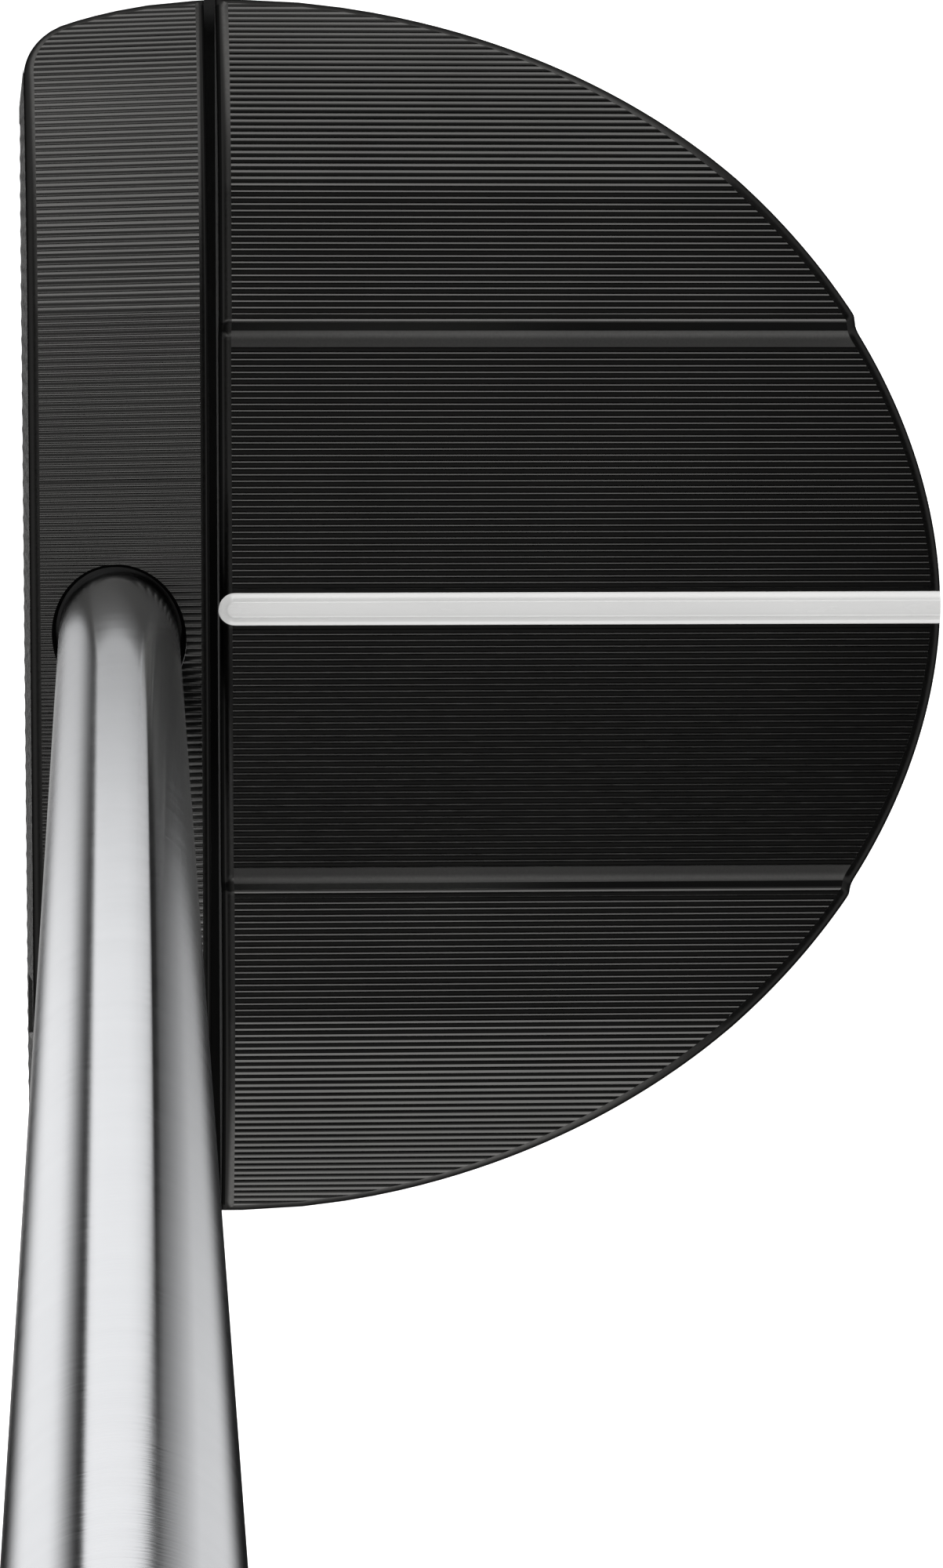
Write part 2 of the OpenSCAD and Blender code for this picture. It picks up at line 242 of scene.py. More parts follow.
class Profile:
    """Half of a front view, from the sight line out: x, z, mean z, whether the rim uses it, material slot."""

    def __init__(self):
        self.rows = []

    def point(self, x, z, slot=RIBS):
        self.rows.append([x, z, z, 1, slot])

    def ribs(self, ridges, depth, curve):
        s, drop, ridge = scallops(ridges, depth)
        x, z, angle = curve(s)
        lowered = x - np.sin(angle) * drop, z - np.cos(angle) * drop
        columns = [*lowered, z - depth / 2, ridge, np.full_like(x, RIBS)]
        self.rows += np.stack(columns, 1).tolist()

    def clipped(self, end_x):
        """The rows up to end_x, with a last one there."""
        rows = np.array(self.rows)
        z, mean = (np.interp(end_x, rows[:, 0], rows[:, i]) for i in (1, 2))
        return np.vstack([rows[rows[:, 0] < end_x - 0.01], [end_x, z, mean, 1, RIBS]])


def both_sides(half):
    """A half profile with its mirror image on the toe side."""
    toe = half[::-1].copy()
    toe[:, 0] *= -1
    toe[:, -1] = np.roll(toe[:, -1], -1)
    if half[0, 0] == 0:
        toe = toe[:-1]
    return np.vstack([toe, half])


def resampled(profile, x):
    """A profile's rows at other places across."""
    return np.stack([np.interp(x, profile[:, 0], column) for column in profile.T], 1)


def deck_half():
    """Sight-line groove, ribbed middle panel, step, ribbed wing."""
    p = Profile()
    p.point(0, LINE_FLOOR_Z)
    p.point(LINE_FLOOR_HALF, LINE_FLOOR_Z)
    p.point(LINE_HALF, PANEL_Z - DECK_RIB_DEPTH)
    first = LINE_HALF + DECK_PITCH / 2
    ridges = np.linspace(first, PANEL_RIBS_END, round((PANEL_RIBS_END - first) / DECK_PITCH) + 1)
    p.ribs(ridges, DECK_RIB_DEPTH, lambda s: (s, np.full_like(s, PANEL_Z), np.zeros_like(s)))
    low_z = PANEL_Z - DECK_RIB_DEPTH / 2
    high_z = WING_Z - WING_RIB_DEPTH / 2
    # The step's fillet takes the lighter step material, a painted sheen.
    p.point(PANEL_RIBS_END + SHARP, low_z, STEP)
    for a in np.linspace(0, STEP_SLOPE, 7):
        p.point(STEP_FOOT_X + STEP_FILLET_R * math.sin(a), low_z + STEP_FILLET_R * (1 - math.cos(a)), STEP)
    # The step's wall gets painted shade.
    p.rows[-1][-1] = PAINTED_SHADE
    x, z = p.rows[-1][:2]
    rise = high_z - STEP_EDGE_R * (1 - math.cos(STEP_SLOPE)) - z
    x += rise / math.tan(STEP_SLOPE)
    for a in np.linspace(STEP_SLOPE, 0, 5):
        turned = math.sin(STEP_SLOPE) - math.sin(a), 1 - math.cos(a)
        p.point(x + STEP_EDGE_R * turned[0], high_z - STEP_EDGE_R * turned[1])
    flat = np.linspace(WING_START, WING_FLAT, round((WING_FLAT - WING_START) / DECK_PITCH) + 1)
    beyond = WING_FLAT + WING_PITCH * np.arange(1, WING_ARC_RIBS + 1)
    p.ribs(np.concatenate([flat, beyond]), WING_RIB_DEPTH, wing)
    return p


def wing(s):
    return crown(s, WING_FLAT, WING_Z, WING_BREAK, WING_R)


def topline(s):
    return crown(s, BAR_FLAT, BAR_REAR_Z, BAR_BREAK, BAR_R)


def bar_half():
    """Ribs of the bar from the sight line to beyond its end."""
    ridges = [0]
    while ridges[-1] < BAR_RIBS_END:
        t = max(0, ridges[-1] - BAR_FLAT) / PITCH_SPAN
        ridges.append(ridges[-1] + BAR_PITCH * (1 + PITCH_GAIN * t - PITCH_LOSS * t * t))
    p = Profile()
    p.ribs(np.array(ridges), BAR_RIB_DEPTH, topline)
    return p


# ---- head: plan curves


def face_y(z):
    """The face's plane, leant back by the loft."""
    return -(LEAD_Y - z * math.tan(LOFT))


def end_x(y):
    """Heel end of the head: curved in towards the face, full width from the channel back."""
    forward = np.maximum(0, BAR_REAR_Y - y)
    return HALF_W - END_R + np.sqrt(END_R**2 - forward**2)


def corner(z, share):
    """Point of the heel corner at a height, from the face (share 0) to the end (share 1), and its normal."""
    y = face_y(z) + CORNER_R
    reach = END_R - CORNER_R
    turn = np.arcsin((BAR_REAR_Y - y) / reach)
    x = HALF_W - END_R + reach * np.cos(turn)
    angle = -math.pi / 2 + share * (math.pi / 2 - turn)
    normal = np.array([np.cos(angle), np.sin(angle)])
    return np.array([x, y]) + CORNER_R * normal, normal


def crown_at(x, curve):
    """Height and slope of a crowned top at x."""
    cx, cz, angle = curve(np.linspace(0, 54, 2001))
    return np.interp(np.abs(x), cx, cz), np.interp(np.abs(x), cx, angle)


def bar_z(x, y):
    """Mean height of the bar's sloping top."""
    return crown_at(x, topline)[0] - BAR_RIB_DEPTH / 2 - (BAR_REAR_Y - y) * BAR_TILT


def mirror(half):
    """Plan points or normals on the toe side, in reverse order."""
    return half[::-1] * [-1, 1]


def plan_normals(outline):
    """Unit normals to the right of an outline's direction."""
    t = np.gradient(outline, axis=0)
    t /= np.linalg.norm(t, axis=1, keepdims=True)
    return stack(t[:, 1], -t[:, 0])


class Edge:
    """A top's outline in plan, rounded over by the rim's radius from where it is tangent to the top."""

    def __init__(self, outline, normals, fall):
        """fall is how steeply the top drops towards the outside at each point of the outline."""
        self.start = np.arctan(fall)
        self.normals = normals
        self.outline = outline
        self.inner = outline - normals * (RIM_R * (1 - np.sin(self.start)))[:, None]
        self.order = np.argsort(self.inner[:, 0], kind="stable")

    def at(self, x):
        """Inner y, normal and starting angle where the edge's inner side is at x."""
        values = self.inner[:, 1], *self.normals.T, self.start
        y, *normal, start = (np.interp(x, self.inner[self.order, 0], v[self.order]) for v in values)
        return y, stack(*normal), start


def rear_edge():
    """The rounded rear from heel to toe, down to the channel."""
    a = np.radians(np.linspace(90, 0, 1500))
    x = HALF_W * np.sin(a) ** (2 / REAR_POWER)
    y = REAR_START + (REAR_Y - REAR_START) * np.cos(a) ** (2 / REAR_POWER)
    outline = stack(x, y)
    normals = plan_normals(outline)
    normals[0] = [1, 0]
    normals[-1] = [0, 1]
    fall = np.tan(crown_at(np.maximum(0, outline[:, 0] - RIM_R / 2), wing)[1]) * normals[:, 0]
    outline, normals = (np.vstack([half, mirror(half)[1:]]) for half in (outline, normals))
    return Edge(outline, normals, np.concatenate([fall, fall[::-1][1:]]))


def front_edge():
    """The bar's front, corners and ends, toe to heel, up to the channel."""
    top = bar_z(MILL_HALF + 1, -FACE_TOP_Y) - RIM_R
    corner_start = corner(top, 0)[0]
    flat_x = np.linspace(0, corner_start[0], 400)
    straight = stack(flat_x, face_y(bar_z(flat_x, -FACE_TOP_Y) - RIM_R))
    turn = np.array([corner(top, share)[0] for share in np.linspace(0, 1, 60)[1:]])
    turn[:, 1] += (straight[-1, 1] - corner_start[1]) * np.linspace(1, 0, 59)
    side_y = np.linspace(turn[-1, 1] + 0.05, BAR_REAR_Y, 120)
    side = stack(end_x(side_y), side_y)
    outline = np.vstack([straight, turn, side])
    normals = plan_normals(outline)
    normals[0] = [0, -1]
    fall = np.tan(crown_at(outline[:, 0] - RIM_R / 2, topline)[1]) * normals[:, 0] - BAR_TILT * normals[:, 1]
    outline, normals = (np.vstack([mirror(half)[:-1], half]) for half in (outline, normals))
    return Edge(outline, normals, np.concatenate([fall[:0:-1], fall]))


def sole_z(x, y):
    """Height of the sole: flat in the middle, curved up to toe and heel, rising to the rear."""
    out = np.maximum(0, np.abs(x) - SOLE_FLAT)
    rise = SOLE_R - np.sqrt(SOLE_R**2 - out**2)
    back = np.maximum(0, y - SOLE_FLAT_Y) * SOLE_REAR_Z / (REAR_Y + 1 - SOLE_FLAT_Y)
    return np.maximum(rise, back)


# ---- head: patches


def rim(surface, inner, z, normals, start, radius, lower_slot=PAINTED_SHADE):
    """Rounds over a run of edge points and returns its lower line of points."""
    rows = []
    for t in np.linspace(0, 1, RIM_STEPS + 1):
        angle = start + (math.pi / 2 - start) * t
        out = radius * (np.sin(angle) - np.sin(start))
        down = radius * (np.cos(start) - np.cos(angle))
        rows.append(stack(*(inner + normals * out[:, None]).T, z - down))
    turn = RIM_STEPS // 2
    surface.grid(rows[: turn + 1], EDGE, facing=UP)
    # The lower half of the rounding gets painted shade unless lower_slot says otherwise.
    surface.grid(rows[turn:], lower_slot, facing=UP)
    return rows[-1]


def ribbed_strip(surface, profile, front_y, back_y, tilt, keep=None):
    """The ribbed top between two edges, with a small lip at each."""
    x, z, mean, _, slot = profile.T
    if keep is not None:
        x, z, mean, slot, front_y, back_y = (v[keep] for v in (x, z, mean, slot, front_y, back_y))
    slot = np.rint(slot[:-1]).astype(int)
    front = stack(x, front_y, z + tilt * (front_y - BAR_REAR_Y))
    back = stack(x, back_y, z + tilt * (back_y - BAR_REAR_Y))
    surface.grid([front, back], slot, facing=UP)
    for line, y, side in ((front, front_y, -1), (back, back_y, 1)):
        lip = stack(x, y, mean - BAR_RIB_DEPTH + tilt * (y - BAR_REAR_Y))
        surface.grid([line, lip], slot, facing=(0, side, 0))


def deck_top(surface):
    """Deck with its rim and its rounded front edge. Returns the lower lines of both."""
    rear = rear_edge()
    profile = both_sides(deck_half().clipped(rear.inner[:, 0].max() - 1e-3))
    x, _, mean, on_rim, _ = profile.T
    groove = np.abs(x) < LINE_HALF - 0.01
    back_y, normals, start = rear.at(x)
    sunk = np.clip((PANEL_Z - mean) / RIM_R, 0, 1)
    groove_start = np.arccos(1 - sunk)
    start = np.where(groove, groove_start, start)
    back_y = np.where(groove, back_y + RIM_R * np.sin(groove_start), back_y)
    front_start = np.where(groove, groove_start, 0)
    front_y = DECK_Y + RIM_R * (1 - np.sin(front_start))
    ribbed_strip(surface, profile, front_y, back_y, 0)
    rim_at = on_rim > 0
    x, z = x[rim_at], mean[rim_at]
    inner = stack(x, front_y[rim_at])
    front_line = rim(surface, inner, z, stack(0 * x, -1), front_start[rim_at], RIM_R)
    heel = np.array([[x[-1], DECK_Y + RIM_R], [x[-1], back_y[-1]]])
    toe = mirror(heel)
    inner = np.vstack([heel, stack(x, back_y[rim_at])[::-1], toe])
    normal = np.vstack([[[1, 0]] * 2, normals[rim_at][::-1], [[-1, 0]] * 2])
    ends = np.full(2, start[-1])
    heights = np.concatenate([[z[-1]] * 2, z[::-1], [z[0]] * 2])
    starts = np.concatenate([ends, start[rim_at][::-1], ends])
    rear_line = rim(surface, inner, heights, normal, starts, RIM_R)
    toe, heel = (
        corner_patch(surface, [way * x[-1], DECK_Y + RIM_R], z[-1], (way, -1), (ends[0], 0), (RIM_R, RIM_R))
        for way in (-1, 1)
    )
    return np.vstack([toe, front_line, heel]), rear_line


def corner_patch(surface, inner, z, ways, starts, radii):
    """Mitred corner between roundings along X and Y, down from its inner point. Returns its lowest point."""
    rows = []
    for t in np.linspace(0, 1, RIM_STEPS + 1):
        angles = [start + (math.pi / 2 - start) * t for start in starts]
        out = [w * r * (math.sin(a) - math.sin(b)) for w, r, a, b in zip(ways, radii, angles, starts)]
        down = [r * (math.cos(b) - math.cos(a)) for r, a, b in zip(radii, angles, starts)]
        rows.append([
            [inner[0] + out[0], inner[1], z - down[0]],
            [inner[0] + out[0], inner[1] + out[1], z - sum(down) / 2],
            [inner[0], inner[1] + out[1], z - down[1]],
        ])
    surface.grid(rows, EDGE, facing=UP)
    return rows[-1][1]


def mouth_ring(radius, depth):
    """Where a cylinder round the shaft axis meets the bar's top, lowered by depth along the axis."""
    points = on_shaft(ENTRY_S, radius, full_turn(144))
    top = BAR_REAR_Z - BAR_RIB_DEPTH / 2 - (BAR_REAR_Y - points[:, 1]) * BAR_TILT
    return points + AXIS * ((top - points[:, 2]) / AXIS[2] - depth)[:, None]


def bar_top(surface, mouth_surface):
    """Topline bar with the bore's mouth, its rim and its back edge. Returns the lower lines of both."""
    front = front_edge()
    back_start = -math.atan(BAR_TILT)
    back = BAR_REAR_Y - BAR_BACK_R * (1 - math.sin(back_start))
    heel_side = front.inner[:, 0] > HALF_W / 2
    order = np.argsort(front.inner[heel_side, 1])
    last_x = np.interp(back, front.inner[heel_side, 1][order], front.inner[heel_side, 0][order])
    profile = both_sides(bar_half().clipped(last_x))
    x, _, mean, on_rim, _ = profile.T
    front_y, normals, start = front.at(x)
    front_y[[0, -1]] = back
    normals[[0, -1]] = [[-1, 0], [1, 0]]
    back_y = np.full_like(x, back)
    mouth = mouth_ring(MOUTH_R, 0)
    left, right = mouth[:, 0].min(), mouth[:, 0].max()
    toe_end, heel_end = x[x < ENTRY_X - MOUTH_AREA][-1], x[x > ENTRY_X + MOUTH_AREA][0]
    for place, part in (
        (surface, x <= toe_end),
        (mouth_surface, (x >= toe_end) & (x < left)),
        (mouth_surface, (x > right) & (x <= heel_end)),
        (surface, x >= heel_end),
    ):
        ribbed_strip(place, profile, front_y, back_y, BAR_TILT, part)
    across = np.concatenate([[left], x[(x > left) & (x < right)], [right]])
    for side in (-1, 1):
        arc = mouth[mouth[:, 1] * side >= -1e-9]
        arc = arc[np.argsort(arc[:, 0])]
        rim_y = np.interp(across, arc[:, 0], arc[:, 1])
        rim_y[[0, -1]] = 0
        outer = np.interp(across, x, front_y if side < 0 else back_y)
        ends = (outer, rim_y) if side < 0 else (rim_y, outer)
        ribbed_strip(mouth_surface, resampled(profile, across), *ends, BAR_TILT)
    for gap in ((x[x < left][-1], left), (right, x[x > right][0])):
        ends = np.interp(gap, x, front_y), np.interp(gap, x, back_y)
        ribbed_strip(mouth_surface, resampled(profile, gap), *ends, BAR_TILT)
    rim_at = on_rim > 0
    x, z = x[rim_at], mean[rim_at]
    inner = stack(x, front_y[rim_at])
    heights = z + BAR_TILT * (inner[:, 1] - BAR_REAR_Y)
    front_line = rim(surface, inner, heights, normals[rim_at], start[rim_at], RIM_R, EDGE)
    inner = stack(x, back_y[rim_at])
    heights = z + BAR_TILT * (inner[:, 1] - BAR_REAR_Y)
    back_line = rim(surface, inner, heights, stack(0 * x, 1), np.full_like(x, back_start), BAR_BACK_R)
    starts, radii = (start[-1], back_start), (RIM_R, BAR_BACK_R)
    ends = ((-1, 0), (1, -1))
    toe, heel = (corner_patch(surface, inner[i], heights[i], (way, 1), starts, radii) for way, i in ends)
    return front_line, np.vstack([toe, back_line, heel])


def bore(surface):
    """Chamfered mouth and wall of the bore, down to its flat bottom."""
    mouth = mouth_ring(MOUTH_R, MOUTH_LIP)
    wall = mouth_ring(BORE_R, MOUTH_DEPTH)
    bottom, centre = (on_shaft(TIP_S, radius, full_turn(144)) for radius in (BORE_R, 0))
    # The bore is painted shade: a near-black copy of the head's metal.
    surface.grid([mouth, wall, bottom], PAINTED_SHADE, closed=True)
    surface.grid([bottom, centre], PAINTED_SHADE, facing=AXIS, closed=True)


def channel_floor(x):
    """Height of the channel's floor, which runs out upwards at the very ends."""
    run = np.clip((np.abs(x) - CHANNEL_RUN_X) / (HALF_W - CHANNEL_RUN_X), 0, 1)
    return CHANNEL_Z + CHANNEL_RUN_UP * run**2


def channel(surface, bar_line, deck_line):
    """Walls and floor of the channel between the bar and the deck."""
    # The channel's walls and floor are painted shade: a near-black copy of the head's metal.
    for line, way in ((bar_line, 1), (deck_line, -1)):
        foot = stack(*line[:, :2].T, channel_floor(line[:, 0]))
        surface.grid([line, foot], PAINTED_SHADE, facing=(0, way, 0))
    x = np.linspace(-1, 1, 200)
    rows = [stack(x * end_x(y), y, channel_floor(x * end_x(y))) for y in (BAR_REAR_Y, DECK_Y)]
    surface.grid(rows, PAINTED_SHADE, facing=UP)


def milled(x, z):
    """Depth of the crossing mill passes on the face."""
    depth = 0
    for lean in (-1, 1):
        across = (x + lean * z * math.tan(MILL_LEAN)) / MILL_PITCH
        off = across - np.round(across)
        depth = np.maximum(depth, 1 - 4 * off**2)
    return MILL_DEPTH * depth


def face_columns():
    """Places along the face from toe corner to heel corner, as x on the flat part."""
    step = MILL_PITCH / 8
    x = list(np.arange(-MILL_HALF, MILL_HALF + step / 2, step))
    for edge in (RECESS_X - RECESS_W / 2, RECESS_X + RECESS_W / 2):
        x += [edge - SHARP, edge + SHARP]
    return np.array(sorted(x))


def face(surface, bar_line):
    """Milled face, rounded corners and leading edge, from the bar's rim to the sole. Returns all rows."""
    order = np.argsort(bar_line[:, 0], kind="stable")
    line_x, line_z = bar_line[order, 0], bar_line[order, 2]
    shares = np.linspace(0, 1, 16)
    columns = [(-1, t) for t in shares[::-1]] + [(0, x) for x in face_columns()] + [(1, t) for t in shares]
    rows = np.zeros((FACE_ROWS + NOSE_ROWS, len(columns), 3))
    for j, (side, place) in enumerate(columns):
        lift = sole_z(face_point(side, place, LEAD_R)[0], 0)
        z_low = LEAD_R + lift
        top = np.interp(face_point(side, place, BAR_FRONT_Z - 6)[0], line_x, line_z)
        for i, share in enumerate(np.linspace(0, 1, FACE_ROWS)):
            rows[i, j] = face_point(side, place, top + (z_low - top) * share)
        foot = face_point(side, place, z_low)
        normal = corner(z_low, place)[1] * [side, 1] if side else np.array([0, -1])
        for i, a in enumerate(NOSE_TURN):
            back = LEAD_R * (1 - math.cos(a))
            rows[FACE_ROWS + i, j] = [*(foot[:2] - normal * back), lift + LEAD_R * (1 - math.sin(a))]
    cut_recess(rows[:FACE_ROWS], columns)
    surface.grid(rows[:FACE_ROWS], FACE, facing=(0, -1, 0))
    surface.grid(rows[FACE_ROWS - 1 :], EDGE, facing=(0, -1, -1))
    return rows


def face_point(side, place, z):
    """Point of the face at a height: at x = place on the flat part, or at a share of a corner's turn."""
    if not side:
        fade = np.clip((MILL_HALF - abs(place)) / MILL_FADE, 0, 1)
        return np.array([place, face_y(z) + milled(place, z) * fade, z])
    (x, y), _ = corner(z, place)
    return np.array([side * x, y, z])


def cut_recess(rows, columns):
    """Sinks the plain recess near the heel into the face's grid of points."""
    for j, (side, x) in enumerate(columns):
        if side or abs(x - RECESS_X) > RECESS_W / 2:
            continue
        z = rows[:, j, 2]
        top, low = RECESS_Z + RECESS_H / 2, RECESS_Z - RECESS_H / 2
        inside = np.where((z < top) & (z > low))[0]
        rows[inside, j, 1] = face_y(z[inside]) + RECESS_DEPTH
        first, last = inside[0], inside[-1]
        rows[[first - 1, first, last, last + 1], j, 2] = top + SHARP, top, low, low - SHARP
        for i in (first - 1, last + 1):
            rows[i, j, 1] = face_y(rows[i, j, 2]) + milled(x, rows[i, j, 2])


def wall(surface, top, column):
    """Side wall below a line of points, joined to the face's end column. Returns where the sole starts."""
    plan = top[:, :2]
    normals = plan_normals(plan) * np.sign(plan[0, 0])
    low = sole_z(*plan.T)
    away = np.concatenate([[0], np.cumsum(np.linalg.norm(np.diff(plan, axis=0), axis=1))])
    joined = np.clip(1 - away / EDGE_JOIN, 0, 1)
    edge = SOLE_EDGE_R + (LEAD_R - SOLE_EDGE_R) * joined
    rows = []
    for share in np.linspace(0, 1, FACE_ROWS):
        rows.append(stack(*plan.T, top[:, 2] + (low + edge - top[:, 2]) * share))
    for a in NOSE_TURN:
        inward = plan - normals * (edge * (1 - math.cos(a)))[:, None]
        rows.append(stack(*inward.T, low + edge * (1 - math.sin(a))))
    rows = np.array(rows)
    rows += (column - rows[:, 0])[:, None] * joined[None, :, None]
    surface.grid(rows, EDGE)
    return rows[-1]


def circle(cx, cy, r):
    a = full_turn(64)
    return stack(cx + r * np.cos(a), cy + r * np.sin(a))


def plate_outline():
    """Rounded rectangle of the sole plate."""
    side, low, high = PLATE_HALF - PLATE_R, PLATE_Y0 + PLATE_R, PLATE_Y1 - PLATE_R
    points = []
    for quarter, centre in enumerate(((side, high), (-side, high), (-side, low), (side, low))):
        a = np.radians(np.linspace(0, 90, 9) + 90 * quarter)
        points.append(np.array(centre) + PLATE_R * stack(np.cos(a), np.sin(a)))
    return np.concatenate(points)


def inside(points, loop):
    """Which points lie inside a closed loop."""
    x, y = points[:, 0], points[:, 1]
    hit = np.zeros(len(points), bool)
    for (x0, y0), (x1, y1) in zip(loop, np.roll(loop, -1, axis=0)):
        if y0 == y1:
            continue
        crosses = (y0 > y) != (y1 > y)
        hit ^= crosses & (x < (x1 - x0) * (y - y0) / (y1 - y0) + x0)
    return hit


def sole(surface, border):
    """Sole inside its border, with the pockets of the plate and the two weights."""
    pockets = [(plate_outline(), PLATE_T)]
    pockets += [(circle(side * WEIGHT_X, WEIGHT_Y, WEIGHT_R), WEIGHT_TOP) for side in (-1, 1)]
    loops = [border[:, :2]] + [loop for loop, _ in pockets]
    points, edges = [], []
    for loop in loops:
        first = len(points)
        points += [Vector(p) for p in loop]
        edges += [(first + i, first + (i + 1) % len(loop)) for i in range(len(loop))]
    extra = np.meshgrid(np.arange(-46, 47, SOLE_GRID), np.arange(-4, 64, SOLE_GRID))
    extra = stack(*extra).reshape(-1, 2)
    free = inside(extra, loops[0])
    for loop in loops[1:]:
        centre = loop.mean(axis=0)
        free &= ~inside(extra, centre + (loop - centre) * 1.15)
    points += [Vector(p) for p in extra[free]]
    flat, _, faces, *_ = delaunay_2d_cdt(points, edges, [], 1, 1e-5)
    flat = np.array([list(p) for p in flat])
    middles = np.array([flat[list(f)].mean(axis=0) for f in faces])
    keep = ~np.any([inside(middles, loop) for loop in loops[1:]], axis=0)
    faces = [list(f)[::-1] for f, k in zip(faces, keep) if k]
    surface.add(stack(*flat.T, sole_z(*flat.T)), faces, EDGE)
    for loop, top in pockets:
        low, high = stack(*loop.T, sole_z(*loop.T)), stack(*loop.T, top)
        centre = np.repeat([[*loop.mean(axis=0), top]], len(loop), axis=0)
        surface.grid([high, low], EDGE, closed=True)
        surface.grid([centre, high], EDGE, facing=(0, 0, -1), closed=True)


def head(materials):
    """The milled head: ribbed bar and deck, channel, bore, milled face, walls and sole."""
    surface, mouth_surface = Surface(), Surface()
    deck_front, deck_rear = deck_top(surface)
    bar_front, bar_back = bar_top(surface, mouth_surface)
    bore(mouth_surface)
    channel(surface, bar_back, deck_front)
    front = face(surface, bar_front)
    borders = [front[-1]]
    for side, column in ((1, front[:, -1]), (-1, front[:, 0])):
        ends = bar_front[(bar_front[:, 0] * side > 0) & (bar_front[:, 1] > column[0, 1] + 0.01)]
        rear = deck_rear[deck_rear[:, 0] * side > 0]
        ends, rear = (line[np.argsort(line[:, 1])] for line in (ends, rear))
        gap = [[side * end_x(y), y, channel_floor(end_x(y))] for y in (BAR_REAR_Y, DECK_Y)]
        last = -1 if side > 0 else 0
        top = np.vstack([column[:1], ends, bar_back[last], *gap, deck_front[last], rear])
        borders.append(wall(surface, top, column))
    nose, heel, toe = borders
    sole(surface, np.vstack([nose, heel, toe[::-1]]))
    pieces = surface.to_object("head", materials), mouth_surface.to_object("head_mouth", materials)
    for piece in pieces:
        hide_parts("head_body")
        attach(piece, "root")
    pieces[0].visible_glossy = False
    return pieces[1]


# ---- the other pieces


def sight_line(material):
    """White enamel in the groove: sloping sides, a slightly dished floor and a round front end."""
    surface = Surface()
    floor_z = LINE_FLOOR_Z + ENAMEL_T
    d = np.array([*ENAMEL_D, LINE_HALF])
    lift = np.array([*ENAMEL_LIFT, PANEL_Z - 0.01 - floor_z])
    z = floor_z + lift
    rear = rear_edge()
    o = np.argsort(rear.outline[:, 0])
    end_y = np.interp(d, rear.outline[o, 0], rear.outline[o, 1]) - ENAMEL_END - 0.3 * lift
    rows = [stack(d, end_y, z)]
    for a in np.linspace(0, math.pi, 33):
        rows.append(stack(d * math.cos(a), LINE_START_Y - d * math.sin(a), z))
    rows.append(stack(-d, end_y, z))
    surface.grid(rows, facing=UP)
    edge = np.array([row[-1] for row in rows])
    under = np.clip(DECK_Y + RIM_R - edge[:, 1], 0, RIM_R)
    foot = PANEL_Z - ENAMEL_SKIRT - (RIM_R - np.sqrt(RIM_R**2 - under**2))
    skirt = stack(*edge[:, :2].T, np.minimum(edge[:, 2] - ENAMEL_SKIRT, foot))
    surface.grid([edge, skirt])
    for row in (rows[0], rows[-1]):
        surface.grid([row, row - [0, 0, 0.1]], facing=(0, 1, 0))
    piece = surface.to_object("sight_line", [material], 50)
    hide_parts("sight_line_enamel")
    piece.visible_glossy = False
    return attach(piece, "root")


def weight(name, side, material):
    """Turned weight: fine rings on its outer face, chamfered rims and a hexagon socket."""
    surface = Surface()
    angle = np.radians(np.arange(0, 360, 2.5))
    hexagon = DRIVE_R * math.cos(math.pi / 6) / np.cos(angle % (math.pi / 3) - math.pi / 6)
    rim_in, rim_out = DRIVE_R + DRIVE_CHAMFER, WEIGHT_R - WEIGHT_CHAMFER
    profile = [(0, DRIVE_DEPTH), (hexagon, DRIVE_DEPTH), (hexagon, DRIVE_CHAMFER), (rim_in, 0)]
    rings = np.arange(rim_in + 0.1, rim_out - 0.1, RING_PITCH)
    profile += [(r, RING_HEIGHT * (i % 2)) for i, r in enumerate(rings)]
    profile += [(rim_out, 0), (WEIGHT_R, WEIGHT_CHAMFER)]
    profile += [(r, WEIGHT_TOP - WEIGHT_Z) for r in (WEIGHT_R, 0)]
    x, y = side * WEIGHT_X, WEIGHT_Y
    rows = [stack(x + r * np.cos(angle), y + r * np.sin(angle), WEIGHT_Z + up) for r, up in profile]
    surface.grid(rows, closed=True)
    piece = surface.to_object(name + "_turned", [material])
    piece.visible_glossy = False
    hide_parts(name)
    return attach(piece, "root")


def on_shaft(s, radial, angle):
    """Points round the shaft axis; angle 0 looks at the grip's flat front."""
    parts = np.broadcast_arrays(s, radial * np.cos(angle), radial * np.sin(angle))
    along, up, across = (part[..., None] for part in parts)
    return FOOT + AXIS * along + TO_FLAT * up + ACROSS * across


def shaft_radius(s):
    """Parallel at the tip, then evenly wider to the butt."""
    return TIP_R + (BUTT_R - TIP_R) * np.clip((s - TAPER_S) / (BUTT_S - TAPER_S), 0, 1)


def shaft(material):
    """Steel tube with its true walls, in its own frame along the axis so that its brushing follows it."""
    surface = Surface()
    angle = full_turn(192)
    stations = np.concatenate([np.linspace(TIP_S, TAPER_S, 40), np.linspace(TAPER_S, BUTT_S, 90)[1:]])
    outer = [on_shaft(s, shaft_radius(s), angle) for s in stations]
    walls = ((BUTT_S, BUTT_R - BUTT_WALL), (TAPER_S, TIP_R - TIP_WALL), (TIP_S, TIP_R - TIP_WALL))
    inner = [on_shaft(s, r, angle) for s, r in walls]
    surface.grid([*inner, *outer, inner[0]], closed=True)
    piece = surface.to_object("shaft_tube", [material])
    along = Matrix([[*TO_FLAT], [*-ACROSS], [*AXIS]]).transposed().to_4x4()
    along.translation = Vector(FOOT * MM)
    piece.data.transform(along.inverted())
    piece.matrix_world = along
    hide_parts("shaft")
    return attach(piece, "root")


